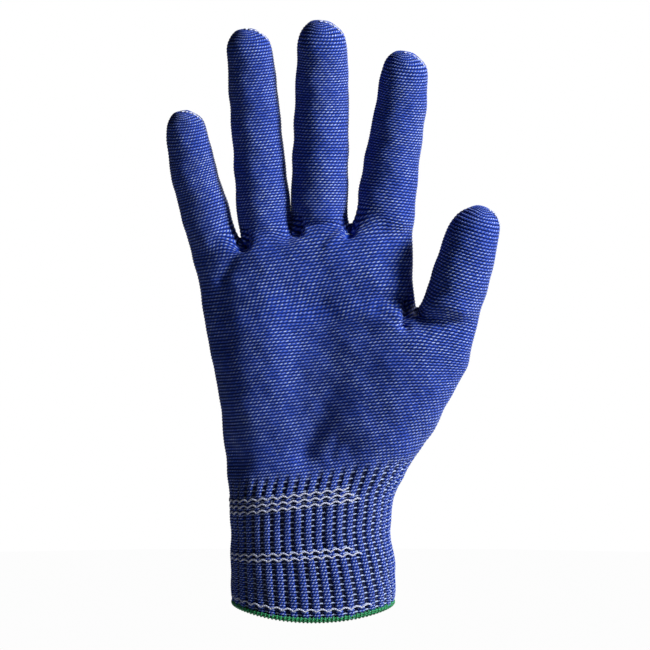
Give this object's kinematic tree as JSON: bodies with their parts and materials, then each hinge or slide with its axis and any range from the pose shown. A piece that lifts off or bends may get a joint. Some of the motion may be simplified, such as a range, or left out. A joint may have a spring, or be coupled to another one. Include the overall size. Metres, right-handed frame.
{
  "type": "cut resistant glove",
  "caption": "Knitted cut resistant work glove for a right hand, with a ribbed elastic cuff, an overlocked hem and fingers and thumb that bend at their knuckles.",
  "frame": {"origin": "middle of the wrist opening, level with the lowest part of the hem", "axes": "+Z from the wrist opening to the fingertips, -Y out of the palm, +X to the thumb side"},
  "size_m": [0.1332, 0.0476, 0.2412],
  "materials": {
    "hand_knit": "plain knit of royal blue yarn with grey-white flecks",
    "rib_knit": "ribbed knit of royal blue yarn with grey-white flecks",
    "marker_yarn": "light grey yarn",
    "elastic_yarn": "covered elastic yarn",
    "hem_thread": "green overlock thread"
  },
  "bodies": {
    "cuff": {"rib_cuff": "rib_knit", "hem_overlock": "hem_thread", "elastic_yarns": "elastic_yarn", "lower_marker_yarn": "marker_yarn", "middle_marker_yarns": "marker_yarn", "upper_marker_yarns": "marker_yarn", "wrist_folds": "hand_knit"},
    "hand": {"palm_knit": "hand_knit", "knuckle_knit": "hand_knit", "crotch_ties": "hand_knit", "index_finger_root_fold": "hand_knit", "middle_finger_root_fold": "hand_knit", "ring_finger_root_fold": "hand_knit", "little_finger_root_fold": "hand_knit", "thumb_root_fold": "hand_knit"},
    "index_finger_base": {"index_finger_base": "hand_knit", "index_finger_knuckle_fold": "hand_knit"},
    "index_finger_mid": {"index_finger_mid": "hand_knit", "index_finger_end_fold": "hand_knit"},
    "index_finger_tip": {"index_finger_tip": "hand_knit", "index_finger_tip_closure": "marker_yarn"},
    "middle_finger_base": {"middle_finger_base": "hand_knit", "middle_finger_knuckle_fold": "hand_knit"},
    "middle_finger_mid": {"middle_finger_mid": "hand_knit", "middle_finger_end_fold": "hand_knit"},
    "middle_finger_tip": {"middle_finger_tip": "hand_knit", "middle_finger_tip_closure": "marker_yarn"},
    "ring_finger_base": {"ring_finger_base": "hand_knit", "ring_finger_knuckle_fold": "hand_knit"},
    "ring_finger_mid": {"ring_finger_mid": "hand_knit", "ring_finger_end_fold": "hand_knit"},
    "ring_finger_tip": {"ring_finger_tip": "hand_knit", "ring_finger_tip_closure": "marker_yarn"},
    "little_finger_base": {"little_finger_base": "hand_knit", "little_finger_knuckle_fold": "hand_knit"},
    "little_finger_mid": {"little_finger_mid": "hand_knit", "little_finger_end_fold": "hand_knit"},
    "little_finger_tip": {"little_finger_tip": "hand_knit", "little_finger_tip_closure": "marker_yarn"},
    "thumb_base": {"thumb_base": "hand_knit", "thumb_knuckle_fold": "hand_knit"},
    "thumb_tip": {"thumb_tip": "hand_knit", "thumb_tip_closure": "marker_yarn"}
  },
  "joints": [
    {"name": "wrist", "type": "hinge", "parent": "cuff", "child": "hand", "pos_m": [0, 0, 0.062], "axis": [1, 0, 0], "range_deg": [-40, 40], "deforming": ["wrist_folds"]},
    {"name": "index_finger_root", "type": "hinge", "parent": "hand", "child": "index_finger_base", "pos_m": [0.0299, -0.002, 0.1695], "axis": [1, 0, 0], "range_deg": [0, 65], "deforming": ["index_finger_root_fold"]},
    {"name": "index_finger_knuckle", "type": "hinge", "parent": "index_finger_base", "child": "index_finger_mid", "pos_m": [0.0325, -0.0028, 0.189], "axis": [1, 0, 0], "range_deg": [0, 80], "deforming": ["index_finger_knuckle_fold"]},
    {"name": "index_finger_end", "type": "hinge", "parent": "index_finger_mid", "child": "index_finger_tip", "pos_m": [0.0355, -0.005, 0.2075], "axis": [1, 0, 0], "range_deg": [0, 48], "deforming": ["index_finger_end_fold"]},
    {"name": "middle_finger_root", "type": "hinge", "parent": "hand", "child": "middle_finger_base", "pos_m": [0.0026, -0.002, 0.1695], "axis": [1, 0, 0], "range_deg": [0, 65], "deforming": ["middle_finger_root_fold"]},
    {"name": "middle_finger_knuckle", "type": "hinge", "parent": "middle_finger_base", "child": "middle_finger_mid", "pos_m": [0.003, -0.003, 0.19], "axis": [1, 0, 0], "range_deg": [0, 80], "deforming": ["middle_finger_knuckle_fold"]},
    {"name": "middle_finger_end", "type": "hinge", "parent": "middle_finger_mid", "child": "middle_finger_tip", "pos_m": [0.0034, -0.0056, 0.214], "axis": [1, 0, 0], "range_deg": [0, 48], "deforming": ["middle_finger_end_fold"]},
    {"name": "ring_finger_root", "type": "hinge", "parent": "hand", "child": "ring_finger_base", "pos_m": [-0.0204, -0.002, 0.1665], "axis": [1, 0, 0], "range_deg": [0, 65], "deforming": ["ring_finger_root_fold"]},
    {"name": "ring_finger_knuckle", "type": "hinge", "parent": "ring_finger_base", "child": "ring_finger_mid", "pos_m": [-0.0222, -0.003, 0.187], "axis": [1, 0, 0], "range_deg": [0, 80], "deforming": ["ring_finger_knuckle_fold"]},
    {"name": "ring_finger_end", "type": "hinge", "parent": "ring_finger_mid", "child": "ring_finger_tip", "pos_m": [-0.0241, -0.0054, 0.21], "axis": [1, 0, 0], "range_deg": [0, 48], "deforming": ["ring_finger_end_fold"]},
    {"name": "little_finger_root", "type": "hinge", "parent": "hand", "child": "little_finger_base", "pos_m": [-0.0435, -0.002, 0.163], "axis": [1, 0, 0], "range_deg": [0, 65], "deforming": ["little_finger_root_fold"]},
    {"name": "little_finger_knuckle", "type": "hinge", "parent": "little_finger_base", "child": "little_finger_mid", "pos_m": [-0.048, -0.003, 0.1775], "axis": [1, 0, 0], "range_deg": [0, 80], "deforming": ["little_finger_knuckle_fold"]},
    {"name": "little_finger_end", "type": "hinge", "parent": "little_finger_mid", "child": "little_finger_tip", "pos_m": [-0.0504, -0.0044, 0.1905], "axis": [1, 0, 0], "range_deg": [0, 48], "deforming": ["little_finger_end_fold"]},
    {"name": "thumb_root", "type": "hinge", "parent": "hand", "child": "thumb_base", "pos_m": [0.05603, -0.01291, 0.12933], "axis": [0.9184, -0.248, -0.3082], "range_deg": [0, 45], "deforming": ["thumb_root_fold"]},
    {"name": "thumb_knuckle", "type": "hinge", "parent": "thumb_base", "child": "thumb_tip", "pos_m": [0.05963, -0.01511, 0.14183], "axis": [0.9184, -0.248, -0.3082], "range_deg": [0, 60], "deforming": ["thumb_knuckle_fold"]}
  ],
  "couplings": [
    {"joint": "index_finger_end", "follows": "index_finger_knuckle", "ratio": 0.6},
    {"joint": "middle_finger_end", "follows": "middle_finger_knuckle", "ratio": 0.6},
    {"joint": "ring_finger_end", "follows": "ring_finger_knuckle", "ratio": 0.6},
    {"joint": "little_finger_end", "follows": "little_finger_knuckle", "ratio": 0.6}
  ]
}
